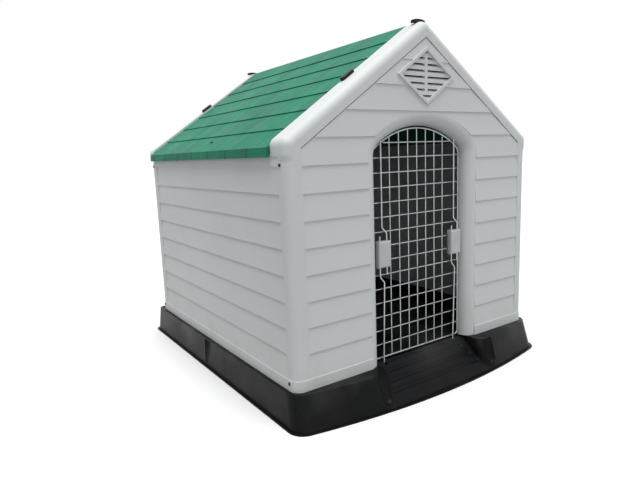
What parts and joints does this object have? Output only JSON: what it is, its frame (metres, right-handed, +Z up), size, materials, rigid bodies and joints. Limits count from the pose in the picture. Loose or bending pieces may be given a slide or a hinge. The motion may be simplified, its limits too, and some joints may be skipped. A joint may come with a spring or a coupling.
{
  "type": "dog house",
  "caption": "Large plastic dog house with a ramped black base, white clapboard walls, a green shingle gable roof and a hinged wire door with sprung rod latches.",
  "frame": {"origin": "centre of the footprint at ground level", "axes": "+Z up, front with the door faces -Y, +X to the right seen from the front"},
  "size_m": [0.932, 1.0824, 0.9849],
  "materials": {
    "black_plastic": "satin",
    "white_plastic": "satin",
    "green_plastic": "satin",
    "clip_plastic": "satin",
    "screw_metal": "satin",
    "wire_metal": "zinc plated",
    "latch_plastic": "glossy",
    "spring_metal": "plain"
  },
  "bodies": {
    "house": {"base_tray": "black_plastic", "front_panel": "white_plastic", "back_panel": "white_plastic", "left_side_panel": "white_plastic", "right_side_panel": "white_plastic", "left_roof_panel": "green_plastic", "right_roof_panel": "green_plastic", "roof_clips": "clip_plastic", "corner_screws": "screw_metal", "roof_eave_screws": "screw_metal"},
    "door": {"door_frame_wire": "wire_metal", "door_horizontal_wires": "wire_metal", "door_vertical_wires": "wire_metal", "left_latch_grip": "latch_plastic", "left_latch_back_plate": "latch_plastic", "left_upper_spring": "spring_metal", "left_lower_spring": "spring_metal", "right_latch_grip": "latch_plastic", "right_latch_back_plate": "latch_plastic", "right_upper_spring": "spring_metal", "right_lower_spring": "spring_metal"},
    "left_lower_rod": {"left_lower_rod": "wire_metal"},
    "left_upper_rod": {"left_upper_rod": "wire_metal"},
    "right_lower_rod": {"right_lower_rod": "wire_metal"},
    "right_upper_rod": {"right_upper_rod": "wire_metal"}
  },
  "joints": [
    {"name": "door_swing", "type": "hinge", "parent": "house", "child": "door", "pos_m": [0.138, -0.42475, 0.38], "axis": [0, 0, 1], "range_deg": [0, 110]},
    {"name": "left_lower_pull", "type": "slide", "parent": "door", "child": "left_lower_rod", "axis": [0, 0, 1], "range_m": [0, 0.012], "stiffness_N_per_m": 400, "springref_m": -0.01, "deforming": ["left_lower_spring"]},
    {"name": "left_upper_pull", "type": "slide", "parent": "door", "child": "left_upper_rod", "axis": [0, 0, -1], "range_m": [0, 0.012], "stiffness_N_per_m": 400, "springref_m": -0.01, "deforming": ["left_upper_spring"]},
    {"name": "right_lower_pull", "type": "slide", "parent": "door", "child": "right_lower_rod", "axis": [0, 0, 1], "range_m": [0, 0.012], "stiffness_N_per_m": 400, "springref_m": -0.01, "deforming": ["right_lower_spring"]},
    {"name": "right_upper_pull", "type": "slide", "parent": "door", "child": "right_upper_rod", "axis": [0, 0, -1], "range_m": [0, 0.012], "stiffness_N_per_m": 400, "springref_m": -0.01, "deforming": ["right_upper_spring"]}
  ],
  "couplings": [
    {"joint": "left_upper_pull", "follows": "left_lower_pull", "ratio": 1},
    {"joint": "right_upper_pull", "follows": "right_lower_pull", "ratio": 1}
  ]
}
